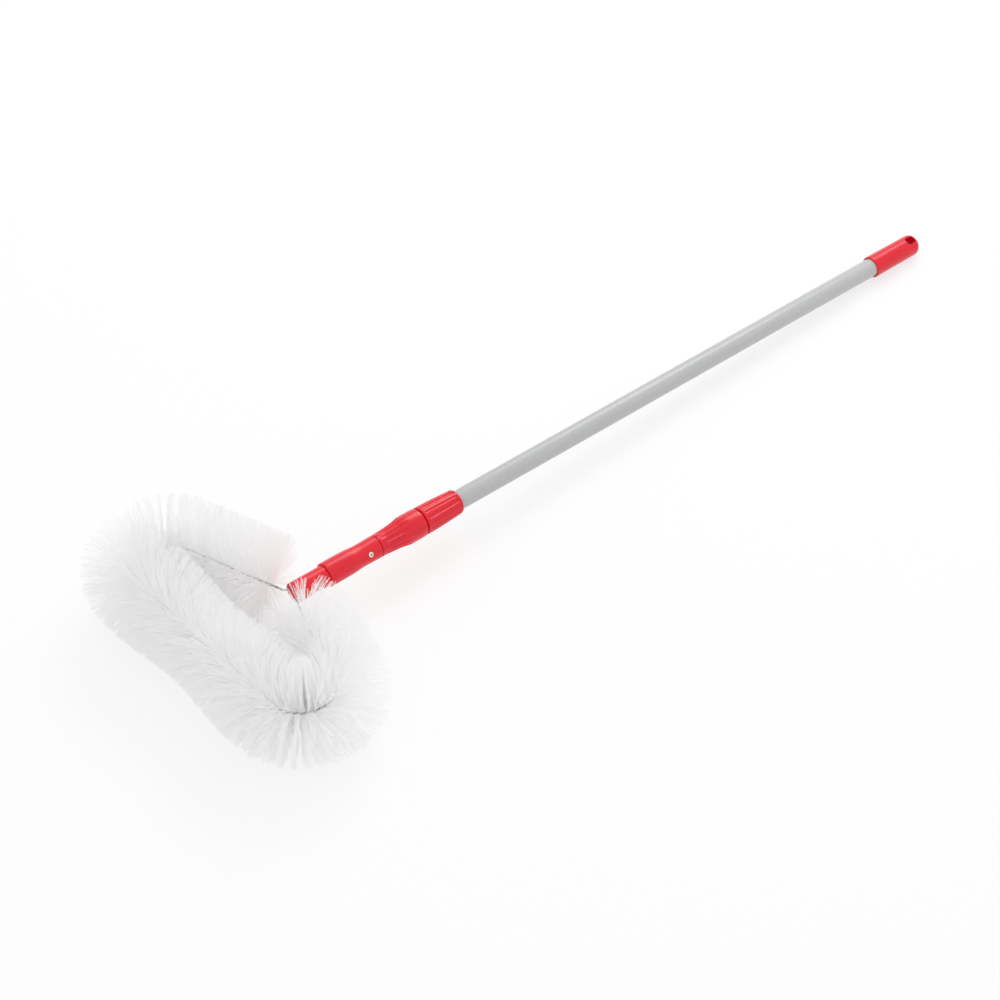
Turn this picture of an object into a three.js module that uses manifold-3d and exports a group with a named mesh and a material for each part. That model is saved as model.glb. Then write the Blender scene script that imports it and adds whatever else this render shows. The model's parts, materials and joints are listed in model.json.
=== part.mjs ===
// Cobweb brush: a wire loop of soft bristles on a two-section telescopic pole. Millimetres, +Z up.
// The pole is drawn along X, with the brush towards -X and the hanging cap towards +X. X is zero at
// the shoulder of the lock body, where the twist nut meets it. The finished tool is then laid down
// until its bristles and its cap both touch the ground.
import * as THREE from 'three';
import { mergeVertices } from 'three/addons/utils/BufferGeometryUtils.js';
import Module from 'manifold-3d';

const wasm = await Module();
wasm.setup();

// Fits
const runningGap = 0.3;
const cutOverrun = 1;

// Telescopic tubes
const outerTubeRadius = 11;
const outerTubeWall = 0.6;
const bareTubeLength = 650.2;
const innerTubeRadius = 9.5;
const innerTubeWall = 0.6;
const innerTubeLength = 703;

// Hanging cap on the rear end of the outer tube
const capRadius = 13.1;
const capTaper = 0.4;
const capLength = 77.5;
const capDomeDepth = 10;
const capRimRounding = 1.4;
const slotLength = 12.8;
const slotWidth = 9.6;
const slotTurnDegrees = 12.5;
const slotCorner = 1.6;
const slotBail = 6.4;
const slotWeb = 9.5;

// Lock body, pushed over the front end of the outer tube
const bodyLength = 50.3;
const bodyRadius = 16.1;
const bodyRearRounding = 1.2;
const bodyWeb = 8.3;
const bodyFluteCount = 15;
const bodyFluteDepth = 1.1;
const bodyFluteMargin = 2.4;
const bodyFluteSoftShare = 0.08;
const bodyFluteTurnShare = 0.5;
const spigotRadius = 12.9;
const spigotLength = 25.4;
const lockGroove = 2;

// Twist nut on the spigot of the lock body
const nutLength = 59.1;
const nutRadius = 16.5;
const nutFluteCount = 15;
const nutFluteDepth = 1.2;
const nutFluteStartShare = 0.26;
const nutFluteSoftShare = 0.3;
const nutFluteTurnShare = 0.4;
const nutNoseBoreGap = 0.6;
const edgeRounding = 0.8;

// Split collet that the nut closes on the inner tube
const colletSleeveRadius = 11.4;
const colletFlangeRadius = 12.7;
const colletNoseRadius = 10.9;
const colletConeLength = 16;
const colletSlit = 2;

// Guide bush in the rear end of the inner tube
const bushFlangeLength = 10;
const bushStemLength = 22;
const bushWall = 2.2;

// Brush socket, riveted to the front end of the inner tube
const socketLength = 69.8;
const socketRadius = 13.9;
const socketTubeDepth = 36;
const socketWeb = 4;
const socketGroove = 0.6;
const socketRearShare = 0.93;

// Blind rivet through the socket and the inner tube
const rivetSetback = 15.8;
const rivetHeadRadius = 2.9;
const rivetHeadHeight = 1.1;
const rivetShankRadius = 1.6;
const rivetEyeRadius = 0.9;
const rivetTailRadius = 2.3;
const rivetTailLength = 3.4;
const rivetLiftDegrees = 29;
const rivetDomeShares = [[0.5, 0.9], [1, 0.55]];

// Wire holder, whose stub sits in the socket and whose neck takes both wire ends
const stubRadius = 10.5;
const neckRadius = 11.7;
const neckLength = 41.7;
const wireHoleDepth = 30;
const wireHoleOffset = 8;

// Twisted wire core, bent into a loop in the plane of the pole
const wireRadius = 1.4;
const wireSides = 8;
const wireStart = 1;
const wireBendRadius = 4;
const loopDepth = 114.5;
const loopEndRadius = 36;
const loopEndOffset = 111;
const endStepDegrees = 6;
const bendStepDegrees = 18;

// Bristles: straight strands on a band that is gripped round the core
const bristleReach = 56;
const bareWireLength = 12;
const bandRadius = 2.6;
const strandSides = 6;
const strandWidth = 2;
const strandTwistDegrees = 15;
const strandTipShare = 0.75;
const strandGap = 0.5;
const fanAlong = 6;
const fanAcross = 7;
const fanStepShare = 0.2;
const trimStep = 1.5;
const shortestStrand = 8;
const stationsPerHalf = 39;
const armStationShare = 0.33;
const groundCut = 0.5;
const tiltRounds = 40;

// Facets of the round pieces
const roundSegments = 32;
const skinSegments = 40;
const smallSegments = 16;
const holeSegments = 12;
const fluteFacets = 5;
const rimSteps = 3;
const domeSteps = 6;

// Contours: pairs of a share of the piece's length and a share of its largest radius
const bodyContourShares = [
  [0, 0.985], [0.045, 1], [0.1, 0.997], [0.2, 0.988], [0.35, 0.977], [0.5, 0.957],
  [0.65, 0.932], [0.8, 0.908], [0.9, 0.886], [0.96, 0.872],
];
const nutContourShares = [
  [0.02, 0.985], [0.08, 1], [0.2, 1], [0.3, 1], [0.37, 0.988], [0.44, 0.945],
  [0.52, 0.893], [0.6, 0.86], [0.7, 0.83], [0.8, 0.806], [0.9, 0.79], [0.985, 0.778],
];
const socketContourShares = [
  [0.02, 0.93], [0.1, 0.922], [0.2, 0.912], [0.31, 0.905], [0.41, 0.925], [0.5, 0.965],
  [0.6, 0.985], [0.72, 0.995], [0.84, 1], [0.97, 0.995],
];

const degree = Math.PI / 180;
const turn = 2 * Math.PI;

// Places along the pole
const capStart = bodyLength + bareTubeLength;
const capEnd = capStart + capLength;
const slotEnd = capEnd - slotBail;
const slotStart = slotEnd - slotLength;
const outerTubeEnd = slotStart - slotWeb;
const nutStart = -lockGroove;
const nutEnd = nutStart - nutLength;
const socketStart = nutEnd - socketGroove;
const socketEnd = socketStart - socketLength;
const innerTubeFront = socketStart - socketTubeDepth;
const innerTubeRear = innerTubeFront + innerTubeLength;
const stubStart = innerTubeFront - runningGap - socketWeb - runningGap;
const neckStart = socketEnd - runningGap;
const neckEnd = neckStart - neckLength;

// Radii that follow from the tubes and the fits
const outerTubeBore = outerTubeRadius - outerTubeWall;
const innerTubeBore = innerTubeRadius - innerTubeWall;
const outerTubeSeat = outerTubeRadius + runningGap;
const innerTubeSeat = innerTubeRadius + runningGap;
const nutNoseBore = innerTubeRadius + nutNoseBoreGap;

// Welds the corners of a geometry and turns its faces outwards
function closedGeometry(source) {
  const corners = new THREE.BufferGeometry();
  corners.setAttribute('position', source.getAttribute('position').clone());
  corners.setIndex(source.index ? source.index.clone() : null);
  const welded = mergeVertices(corners);
  const position = welded.getAttribute('position');
  const index = welded.index.array;
  const faces = [];
  let volume = 0;
  for (let i = 0; i < index.length; i += 3) {
    const face = [index[i], index[i + 1], index[i + 2]];
    if (new Set(face).size < face.length) continue;
    const [a, b, c] = face.map((corner) => new THREE.Vector3().fromBufferAttribute(position, corner));
    volume += a.dot(b.cross(c));
    faces.push(face);
  }
  welded.setIndex(faces.flatMap(([a, b, c]) => (volume < 0 ? [a, c, b] : [a, b, c])));
  return welded;
}

function solid(source) {
  const geometry = closedGeometry(source);
  return new wasm.Manifold(new wasm.Mesh({
    numProp: 3,
    vertProperties: new Float32Array(geometry.getAttribute('position').array),
    triVerts: new Uint32Array(geometry.index.array),
  }));
}

function geometryOf(manifold) {
  const mesh = manifold.getMesh();
  const geometry = new THREE.BufferGeometry();
  geometry.setAttribute('position', new THREE.BufferAttribute(mesh.vertProperties, mesh.numProp));
  geometry.setIndex(new THREE.BufferAttribute(mesh.triVerts, 1));
  return geometry;
}

// Turns a list of [place along the pole, radius] pairs about the pole's axis
function turned(profile, segments = roundSegments) {
  const points = profile.map(([along, radius]) => new THREE.Vector2(radius, along));
  return new THREE.LatheGeometry(points, segments).rotateZ(-turn / 4);
}

// A hollow section, walked once round and closed on itself
function ring(profile, segments = roundSegments) {
  return turned([...profile, profile[0]], segments);
}

// A solid section, which starts and ends on the axis
function plug(profile, segments = roundSegments) {
  const first = profile[0];
  const last = profile[profile.length - 1];
  return turned([[first[0], 0], ...profile, [last[0], 0]], segments);
}

// Points of a quarter ellipse, from one angle to another in quarter turns
function cornerArc(along, radius, alongSize, radiusSize, from, to, steps) {
  const points = [];
  for (let i = 0; i <= steps; i += 1) {
    const angle = (from + (to - from) * (i / steps)) * turn / 4;
    points.push([along + alongSize * Math.cos(angle), radius + radiusSize * Math.sin(angle)]);
  }
  return points;
}

function contour(shares, start, length, radius) {
  return shares.map(([alongShare, radiusShare]) => [start + length * alongShare, radius * radiusShare]);
}

// Radius of a contour at a share of its length
function radiusAt(shares, radius, alongShare) {
  const after = shares.findIndex(([along]) => along >= alongShare);
  const [start, startRadius] = shares[after - 1];
  const [end, endRadius] = shares[after];
  return radius * (startRadius + (endRadius - startRadius) * ((alongShare - start) / (end - start)));
}

// Presses round-bottomed flutes into the skin of a turned geometry. The turn share is how much of a
// flute's width the pattern is turned by.
function flute(geometry, count, turnShare, depthAt) {
  const position = geometry.getAttribute('position');
  const point = new THREE.Vector3();
  for (let i = 0; i < position.count; i += 1) {
    point.fromBufferAttribute(position, i);
    const radius = Math.hypot(point.y, point.z);
    if (radius === 0) continue;
    const wave = Math.max(0, Math.cos(count * Math.atan2(point.z, point.y) - turnShare * turn));
    const shrink = 1 - (depthAt(point.x) * wave) / radius;
    position.setXYZ(i, point.x, point.y * shrink, point.z * shrink);
  }
  return geometry;
}

// Rises from 0 to 1 and falls back within a stretch, with soft ends
function swell(place, start, end, softShare) {
  const share = (place - start) / (end - start);
  if (share <= 0 || share >= 1) return 0;
  const nearest = Math.min(share, 1 - share) / softShare;
  return nearest >= 1 ? 1 : Math.sin(nearest * turn / 4);
}

function outerTube() {
  return ring([
    [bodyWeb + runningGap, outerTubeBore],
    [bodyWeb + runningGap, outerTubeRadius],
    [outerTubeEnd, outerTubeRadius],
    [outerTubeEnd, outerTubeBore],
  ]);
}

function hangCap() {
  const domeStart = capEnd - capDomeDepth;
  const rim = cornerArc(capStart + capRimRounding, capRadius - capRimRounding,
    capRimRounding, capRimRounding, 2, 1, rimSteps);
  const dome = cornerArc(domeStart, 0, capDomeDepth, capRadius - capTaper, 1, 0, domeSteps);
  const seatEnd = outerTubeEnd + runningGap;
  const shell = turned([
    [seatEnd, 0],
    [seatEnd, outerTubeSeat],
    [capStart, outerTubeSeat],
    ...rim,
    ...dome,
  ], skinSegments);
  const outline = new THREE.Shape();
  const half = slotWidth / 2;
  outline.moveTo(slotStart + slotCorner, -half);
  outline.lineTo(slotEnd - slotCorner, -half);
  outline.absarc(slotEnd - slotCorner, -half + slotCorner, slotCorner, -turn / 4, 0);
  outline.absarc(slotEnd - slotCorner, half - slotCorner, slotCorner, 0, turn / 4);
  outline.absarc(slotStart + slotCorner, half - slotCorner, slotCorner, turn / 4, turn / 2);
  outline.absarc(slotStart + slotCorner, -half + slotCorner, slotCorner, turn / 2, turn * 3 / 4);
  const depth = 2 * (capRadius + cutOverrun);
  const slot = new THREE.ExtrudeGeometry(outline, { depth, bevelEnabled: false, curveSegments: rimSteps });
  slot.translate(0, 0, -depth / 2);
  slot.rotateX(slotTurnDegrees * degree);
  return geometryOf(solid(shell).subtract(solid(slot)));
}

function lockBody() {
  const rearRadius = bodyRadius * bodyContourShares[bodyContourShares.length - 1][1];
  const rear = cornerArc(bodyLength - bodyRearRounding, rearRadius - bodyRearRounding,
    bodyRearRounding, bodyRearRounding, 1, 0, rimSteps);
  const skin = plug([
    [-spigotLength, spigotRadius - edgeRounding],
    [edgeRounding - spigotLength, spigotRadius],
    [0, spigotRadius],
    ...contour(bodyContourShares, 0, bodyLength, bodyRadius),
    ...rear,
  ], bodyFluteCount * fluteFacets);
  flute(skin, bodyFluteCount, bodyFluteTurnShare, (place) => (
    bodyFluteDepth * swell(place, bodyFluteMargin, bodyLength - bodyFluteMargin, bodyFluteSoftShare)));
  const bore = plug([
    [-spigotLength - cutOverrun, colletSleeveRadius + runningGap],
    [0, colletSleeveRadius + runningGap],
    [0, innerTubeSeat],
    [bodyWeb, innerTubeSeat],
    [bodyWeb, outerTubeSeat],
    [bodyLength + cutOverrun, outerTubeSeat],
  ]);
  return geometryOf(solid(skin).subtract(solid(bore)));
}

function lockNut() {
  const edges = contour(nutContourShares, nutStart, -nutLength, nutRadius);
  const rearRadius = edges[0][1] - edgeRounding;
  const noseRadius = edges[edges.length - 1][1] - edgeRounding;
  const profile = [[nutStart, rearRadius], ...edges, [nutEnd, noseRadius]];
  const skin = plug(profile, nutFluteCount * fluteFacets);
  const fluteStart = nutStart - nutLength * nutFluteStartShare;
  flute(skin, nutFluteCount, nutFluteTurnShare, (place) => (
    nutFluteDepth * swell(place, fluteStart, nutEnd, nutFluteSoftShare)));
  const coneStart = -spigotLength - runningGap;
  const coneEnd = coneStart - colletConeLength - runningGap;
  const bore = plug([
    [nutStart + cutOverrun, spigotRadius + runningGap],
    [coneStart - runningGap, spigotRadius + runningGap],
    [coneEnd, colletNoseRadius + runningGap],
    [coneEnd, nutNoseBore],
    [nutEnd - cutOverrun, nutNoseBore],
  ]);
  return geometryOf(solid(skin).subtract(solid(bore)));
}

function lockCollet() {
  const flange = -spigotLength - runningGap;
  const nose = flange - colletConeLength;
  const collet = ring([
    [-runningGap, innerTubeSeat],
    [-runningGap, colletSleeveRadius],
    [flange, colletSleeveRadius],
    [flange, colletFlangeRadius],
    [nose, colletNoseRadius],
    [nose, innerTubeSeat],
  ]);
  const slitLength = -nose + 2 * cutOverrun;
  const slitDepth = colletFlangeRadius + cutOverrun;
  const slit = new THREE.BoxGeometry(slitLength, colletSlit, slitDepth);
  slit.translate(nose / 2, 0, slitDepth / 2);
  return geometryOf(solid(collet).subtract(solid(slit)));
}

function innerTube() {
  const tube = ring([
    [innerTubeFront, innerTubeBore],
    [innerTubeFront, innerTubeRadius],
    [innerTubeRear, innerTubeRadius],
    [innerTubeRear, innerTubeBore],
  ]);
  return geometryOf(solid(tube).subtract(rivetHole()));
}

function guideBush() {
  const flangeRadius = outerTubeBore - runningGap;
  const stemRadius = innerTubeBore - runningGap;
  const boreRadius = stemRadius - bushWall;
  const flangeStart = innerTubeRear + runningGap;
  const stemStart = innerTubeRear - bushStemLength;
  const flangeEnd = flangeStart + bushFlangeLength;
  return ring([
    [stemStart, boreRadius],
    [stemStart, stemRadius - edgeRounding],
    [stemStart + edgeRounding, stemRadius],
    [flangeStart, stemRadius],
    [flangeStart, flangeRadius],
    [flangeEnd - edgeRounding, flangeRadius],
    [flangeEnd, flangeRadius - edgeRounding],
    [flangeEnd, boreRadius],
  ]);
}

// Places a piece drawn along X at the rivet: X becomes the way out of the socket's wall
function atRivet(geometry) {
  geometry.rotateZ(-turn / 4);
  geometry.rotateX(-rivetLiftDegrees * degree);
  return geometry.translate(socketStart - rivetSetback, 0, 0);
}

function rivetHole() {
  const radius = rivetShankRadius + runningGap;
  const hole = plug([[0, radius], [socketRadius + rivetHeadHeight, radius]], holeSegments);
  return solid(atRivet(hole));
}

function socketRivet() {
  const seat = radiusAt(socketContourShares, socketRadius, rivetSetback / socketLength) + runningGap;
  const tailTop = innerTubeBore - runningGap;
  return atRivet(ring([
    [tailTop - rivetTailLength, rivetEyeRadius],
    [tailTop - rivetTailLength, rivetShankRadius],
    [tailTop - rivetTailLength / 2, rivetTailRadius],
    [tailTop, rivetShankRadius],
    [seat, rivetShankRadius],
    [seat, rivetHeadRadius],
    ...contour(rivetDomeShares, seat, rivetHeadHeight, rivetHeadRadius),
    [seat + rivetHeadHeight, rivetEyeRadius],
  ], smallSegments));
}

function brushSocket() {
  const skin = plug([
    [socketStart, socketRadius * socketRearShare - edgeRounding],
    ...contour(socketContourShares, socketStart, -socketLength, socketRadius),
    [socketEnd, socketRadius - edgeRounding],
  ], skinSegments);
  const tubeBore = plug([
    [socketStart + cutOverrun, innerTubeSeat],
    [innerTubeFront - runningGap, innerTubeSeat],
  ]);
  const stubBore = plug([
    [stubStart + runningGap, stubRadius + runningGap],
    [socketEnd - cutOverrun, stubRadius + runningGap],
  ]);
  const bored = solid(skin).subtract(solid(tubeBore)).subtract(solid(stubBore));
  return geometryOf(bored.subtract(rivetHole()));
}

function wireHolder() {
  let holder = solid(plug([
    [stubStart, stubRadius - edgeRounding],
    [stubStart - edgeRounding, stubRadius],
    [neckStart, stubRadius],
    [neckStart, neckRadius],
    [neckEnd + edgeRounding, neckRadius],
    [neckEnd, neckRadius - edgeRounding],
  ]));
  for (const side of [1, -1]) {
    const hole = plug([
      [neckEnd - cutOverrun, wireRadius + runningGap],
      [neckEnd + wireHoleDepth, wireRadius + runningGap],
    ], holeSegments);
    hole.translate(0, side * wireHoleOffset, 0);
    holder = holder.subtract(solid(hole));
  }
  return geometryOf(holder);
}

// The core's course in the plane of the loop: out of the neck, round both ends and back in
const bendCentre = new THREE.Vector2(neckEnd - wireStart, wireHoleOffset + wireBendRadius);
const endCentre = new THREE.Vector2(neckEnd - loopDepth + loopEndRadius, loopEndOffset);
const centreLine = endCentre.clone().sub(bendCentre);
const armHeading = centreLine.angle()
  - Math.asin((wireBendRadius + loopEndRadius) / centreLine.length());
const wireEnd = neckEnd + wireHoleDepth - 2 * runningGap;

function loopCourse() {
  const course = new THREE.Path();
  const quarter = turn / 4;
  course.moveTo(wireEnd, wireHoleOffset);
  course.lineTo(bendCentre.x, wireHoleOffset);
  course.absarc(bendCentre.x, bendCentre.y, wireBendRadius, -quarter, armHeading - 3 * quarter, true);
  course.absarc(endCentre.x, endCentre.y, loopEndRadius, armHeading - quarter, 2 * quarter, false);
  course.absarc(endCentre.x, -endCentre.y, loopEndRadius, 2 * quarter, 5 * quarter - armHeading, false);
  course.absarc(bendCentre.x, -bendCentre.y, wireBendRadius, 3 * quarter - armHeading, quarter, true);
  course.lineTo(wireEnd, -wireHoleOffset);
  return course;
}

const course = loopCourse();
const courseLength = course.getLength();

// The same course in space, stepped closely round the bends and once along each straight run
class CoreCourse extends THREE.Curve {
  constructor() {
    super();
    this.marks = [0];
    let before = 0;
    for (const piece of course.curves) {
      const length = piece.getLength();
      const radius = piece.isEllipseCurve ? piece.xRadius : Infinity;
      const stepDegrees = radius > wireBendRadius ? endStepDegrees : bendStepDegrees;
      const steps = Math.max(1, Math.ceil(length / (radius * stepDegrees * degree)));
      for (let i = 1; i <= steps; i += 1) {
        this.marks.push((before + length * (i / steps)) / courseLength);
      }
      before += length;
    }
  }

  getPoint(share, target = new THREE.Vector3()) {
    const place = course.getPoint(THREE.MathUtils.clamp(share, 0, 1));
    return target.set(place.x, place.y, 0);
  }

  getUtoTmapping(share) {
    return this.marks[Math.round(share * (this.marks.length - 1))];
  }
}

function wireCore() {
  const section = new THREE.Shape();
  for (let i = 0; i < wireSides; i += 1) {
    const angle = turn * (i / wireSides);
    const corner = [wireRadius * Math.cos(angle), wireRadius * Math.sin(angle)];
    if (i === 0) section.moveTo(...corner);
    else section.lineTo(...corner);
  }
  const extrudePath = new CoreCourse();
  return new THREE.ExtrudeGeometry(section, { extrudePath, steps: extrudePath.marks.length - 1 });
}

// Stations of strands along one half of the loop, from the neck to the middle of the far side
const firstStation = course.curves[0].getLength() + course.curves[1].getLength() + bareWireLength;
const stationPitch = (courseLength / 2 - firstStation) / (stationsPerHalf - 0.5);

function direction(first, second, angle) {
  return first.clone().multiplyScalar(Math.cos(angle)).addScaledVector(second, Math.sin(angle));
}

// A ring of the band across the core, at an offset along it
function bandRing(place, offset, radius) {
  return place.corners.map((corner) => (
    place.root.clone().addScaledVector(place.along, offset).addScaledVector(corner, radius)));
}

function station(number, side) {
  const share = (firstStation + stationPitch * number) / courseLength;
  const middle = course.getPoint(share);
  const heading = course.getTangent(share);
  const outward = new THREE.Vector3(heading.y, -side * heading.x, 0);
  const up = new THREE.Vector3(0, 0, 1);
  const place = {
    root: new THREE.Vector3(middle.x, side * middle.y, 0),
    along: new THREE.Vector3(heading.x, side * heading.y, 0),
    corners: [],
  };
  const angles = [];
  for (let k = 0; k < strandSides; k += 1) {
    angles.push(number * strandTwistDegrees * degree + turn * (k / strandSides));
    place.corners.push(direction(outward, up, angles[k]));
  }
  place.near = bandRing(place, -strandWidth / 2, bandRadius);
  place.far = bandRing(place, strandWidth / 2, bandRadius);
  place.strands = angles.map((angle, k) => {
    const next = (k + 1) % strandSides;
    const centre = angle + turn / strandSides / 2;
    return {
      root: place.root,
      along: place.along,
      way: direction(outward, up, centre),
      across: direction(outward, up, centre + turn / 4),
      base: [place.near[k], place.far[k], place.far[next], place.near[next]],
      length: bristleReach,
      fanShare: 1,
    };
  });
  return place;
}

// The four corners of a strand's tip: a strand fans out with its length, as a tuft of hairs does
function strandTip(strand) {
  const share = strand.fanShare * (strand.length / bristleReach);
  const slim = strandWidth * strandTipShare;
  const alongHalf = THREE.MathUtils.lerp(slim, fanAlong, share) / 2;
  const acrossHalf = THREE.MathUtils.lerp(slim, fanAcross, share) / 2;
  return [[-1, -1], [1, -1], [1, 1], [-1, 1]].map(([alongSide, acrossSide]) => (
    strand.root.clone()
      .addScaledVector(strand.way, strand.length)
      .addScaledVector(strand.along, alongSide * alongHalf)
      .addScaledVector(strand.across, acrossSide * acrossHalf)));
}

// A strand's corners, and the directions of its edges
function strandFrame(strand) {
  const tip = strandTip(strand);
  const edges = tip.map((corner, i) => corner.clone().sub(strand.base[i]));
  return { corners: [...strand.base, ...tip], edges: [strand.along, strand.across, ...edges] };
}

function span(corners, axis) {
  const heights = corners.map((corner) => corner.dot(axis));
  return [Math.min(...heights), Math.max(...heights)];
}

// Whether some plane parts two strands with room to spare. Their sides are flat and they have no
// hollows, so a plane square to one of these directions does it wherever any plane does.
function parted(one, other) {
  const first = strandFrame(one);
  const second = strandFrame(other);
  const axes = [one.along.clone(), other.along.clone()];
  for (const edge of first.edges) {
    for (const otherEdge of second.edges) axes.push(edge.clone().cross(otherEdge));
  }
  for (const { edges } of [first, second]) {
    edges.forEach((edge, i) => edges.slice(i + 1).forEach((next) => axes.push(edge.clone().cross(next))));
  }
  return axes.some((axis) => {
    if (axis.length() < Number.EPSILON) return false;
    axis.normalize();
    const [low, high] = span(first.corners, axis);
    const [otherLow, otherHigh] = span(second.corners, axis);
    return otherLow - high > strandGap || low - otherHigh > strandGap;
  });
}

// Makes strands that meet slimmer, and then shorter, until all of them are parted
function trimStrands(stations) {
  const pairs = [];
  stations.forEach((first, i) => {
    for (const second of stations.slice(i + 1)) {
      if (first.root.distanceTo(second.root) > 2 * bristleReach + fanAcross) continue;
      for (const one of first.strands) {
        for (const other of second.strands) {
          if (!parted(one, other)) pairs.push([one, other]);
        }
      }
    }
  });
  let crossing = true;
  while (crossing) {
    crossing = false;
    for (const [one, other] of pairs) {
      const longer = Math.max(one.length, other.length);
      if (longer <= shortestStrand || parted(one, other)) continue;
      crossing = true;
      if (one.fanShare > 0 || other.fanShare > 0) {
        for (const strand of [one, other]) strand.fanShare = Math.max(0, strand.fanShare - fanStepShare);
        continue;
      }
      for (const strand of [one, other]) {
        if (strand.length === longer) strand.length -= trimStep;
      }
    }
  }
}

// One closed skin: a hollow band along the stations, with a four-sided strand drawn out of each cell
function bristleGeometry(stations) {
  const points = [];
  const faces = [];
  const boreRadius = (wireRadius + runningGap) / Math.cos(turn / strandSides / 2);
  const addPoint = (point) => points.push(point) - 1;
  const addQuad = (a, b, c, d) => faces.push(a, b, c, a, c, d);
  let before = null;
  let boreBefore = null;
  stations.forEach((place, number) => {
    const near = place.near.map(addPoint);
    const far = place.far.map(addPoint);
    const last = number === stations.length - 1;
    const bore = bandRing(place, (last ? 1 : -1) * strandWidth / 2, boreRadius).map(addPoint);
    for (let k = 0; k < strandSides; k += 1) {
      const n = (k + 1) % strandSides;
      if (before) addQuad(before[k], near[k], near[n], before[n]);
      else addQuad(bore[k], near[k], near[n], bore[n]);
      if (boreBefore) addQuad(bore[k], boreBefore[k], boreBefore[n], bore[n]);
      if (last) addQuad(far[k], bore[k], bore[n], far[n]);
      const base = [near[k], far[k], far[n], near[n]];
      const tip = strandTip(place.strands[k]).map(addPoint);
      for (let c = 0; c < base.length; c += 1) {
        const d = (c + 1) % base.length;
        addQuad(base[c], base[d], tip[d], tip[c]);
      }
      addQuad(...tip);
    }
    before = far;
    boreBefore = bore;
  });
  const geometry = new THREE.BufferGeometry().setFromPoints(points);
  geometry.setIndex(faces);
  return geometry;
}

const armStations = Math.round(stationsPerHalf * armStationShare);
const bristleNodes = [
  { name: 'bristles_near_left', side: 1, from: 0, to: armStations },
  { name: 'bristles_far_left', side: 1, from: armStations, to: stationsPerHalf },
  { name: 'bristles_near_right', side: -1, from: 0, to: armStations },
  { name: 'bristles_far_right', side: -1, from: armStations, to: stationsPerHalf },
];
for (const node of bristleNodes) {
  node.stations = [];
  for (let number = node.from; number < node.to; number += 1) {
    node.stations.push(station(number, node.side));
  }
}
trimStrands(bristleNodes.flatMap((node) => node.stations));
for (const node of bristleNodes) node.geometry = closedGeometry(bristleGeometry(node.stations));

// How high the lowest point of some geometries stands when the tool is laid down at a tilt
function lowestPoint(geometries, tilt) {
  let lowest = Infinity;
  for (const geometry of geometries) {
    const position = geometry.getAttribute('position');
    for (let i = 0; i < position.count; i += 1) {
      const height = position.getZ(i) * Math.cos(tilt) - position.getX(i) * Math.sin(tilt);
      lowest = Math.min(lowest, height);
    }
  }
  return lowest;
}

// The tilt at which the cap meets the plane that trims the lowest bristle tips
const capGeometry = hangCap();
const bristleGeometries = bristleNodes.map((node) => node.geometry);
let tiltLow = 0;
let tiltHigh = Math.asin(bristleReach / capStart);
for (let round = 0; round < tiltRounds; round += 1) {
  const tilt = (tiltLow + tiltHigh) / 2;
  const brushHeight = lowestPoint(bristleGeometries, tilt) + groundCut;
  if (brushHeight < lowestPoint([capGeometry], tilt)) tiltLow = tilt;
  else tiltHigh = tilt;
}
const restTilt = (tiltLow + tiltHigh) / 2;
const groundHeight = lowestPoint([capGeometry], restTilt);

// Cuts the bristle tips flat where they stand on the ground
function cutFlat(geometry) {
  const length = 2 * (loopDepth + bristleReach);
  const width = 4 * (loopEndOffset + bristleReach);
  const ground = new THREE.BoxGeometry(length, width, bristleReach);
  ground.translate(neckEnd - loopDepth / 2, 0, groundHeight - bristleReach / 2);
  ground.rotateY(-restTilt);
  return geometryOf(solid(geometry).subtract(solid(ground)));
}

const paint = {
  greyPaint: new THREE.MeshStandardMaterial({ color: 0xc6c7c8, roughness: 0.38, metalness: 0.25 }),
  redPlastic: new THREE.MeshStandardMaterial({ color: 0xe03a48, roughness: 0.35, metalness: 0 }),
  palePlastic: new THREE.MeshStandardMaterial({ color: 0xd9d6cf, roughness: 0.5, metalness: 0 }),
  steelWire: new THREE.MeshStandardMaterial({ color: 0x8f9092, roughness: 0.4, metalness: 0.9 }),
  rivetMetal: new THREE.MeshStandardMaterial({ color: 0xd8c9a8, roughness: 0.35, metalness: 0.9 }),
  bristle: new THREE.MeshStandardMaterial({ color: 0xececec, roughness: 0.7, metalness: 0 }),
};

const tool = new THREE.Group();
function add(name, geometry, material) {
  const mesh = new THREE.Mesh(closedGeometry(geometry), material.clone());
  mesh.geometry.computeVertexNormals();
  mesh.name = name;
  tool.add(mesh);
}

add('outer_tube', outerTube(), paint.greyPaint);
add('hang_cap', capGeometry, paint.redPlastic);
add('lock_body', lockBody(), paint.redPlastic);
add('lock_collet', lockCollet(), paint.palePlastic);
add('lock_nut', lockNut(), paint.redPlastic);
add('inner_tube', innerTube(), paint.greyPaint);
add('guide_bush', guideBush(), paint.palePlastic);
add('brush_socket', brushSocket(), paint.redPlastic);
add('socket_rivet', socketRivet(), paint.rivetMetal);
add('wire_holder', wireHolder(), paint.redPlastic);
add('wire_core', wireCore(), paint.steelWire);
for (const node of bristleNodes) add(node.name, cutFlat(node.geometry), paint.bristle);

// The tool lies on the ground, centred over the origin
tool.rotation.y = restTilt;
tool.updateMatrixWorld(true);
const box = new THREE.Box3().setFromObject(tool, true);
tool.position.set(-(box.min.x + box.max.x) / 2, -(box.min.y + box.max.y) / 2, -groundHeight);

const cobwebBrush = new THREE.Group();
cobwebBrush.add(tool);
cobwebBrush.updateMatrixWorld(true);

export default cobwebBrush;
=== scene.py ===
"""Cobweb brush: the finished look of every piece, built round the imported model.

Pieces are drawn in millimetres in the pole's own frame: X along the pole towards the hanging cap,
Y across the brush and Z out of the loop's plane. Zero lies on the pole's axis, inside the twist nut.
"""
import json
import math

import bmesh
import bpy
import numpy as np
from mathutils import Matrix, Vector


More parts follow.
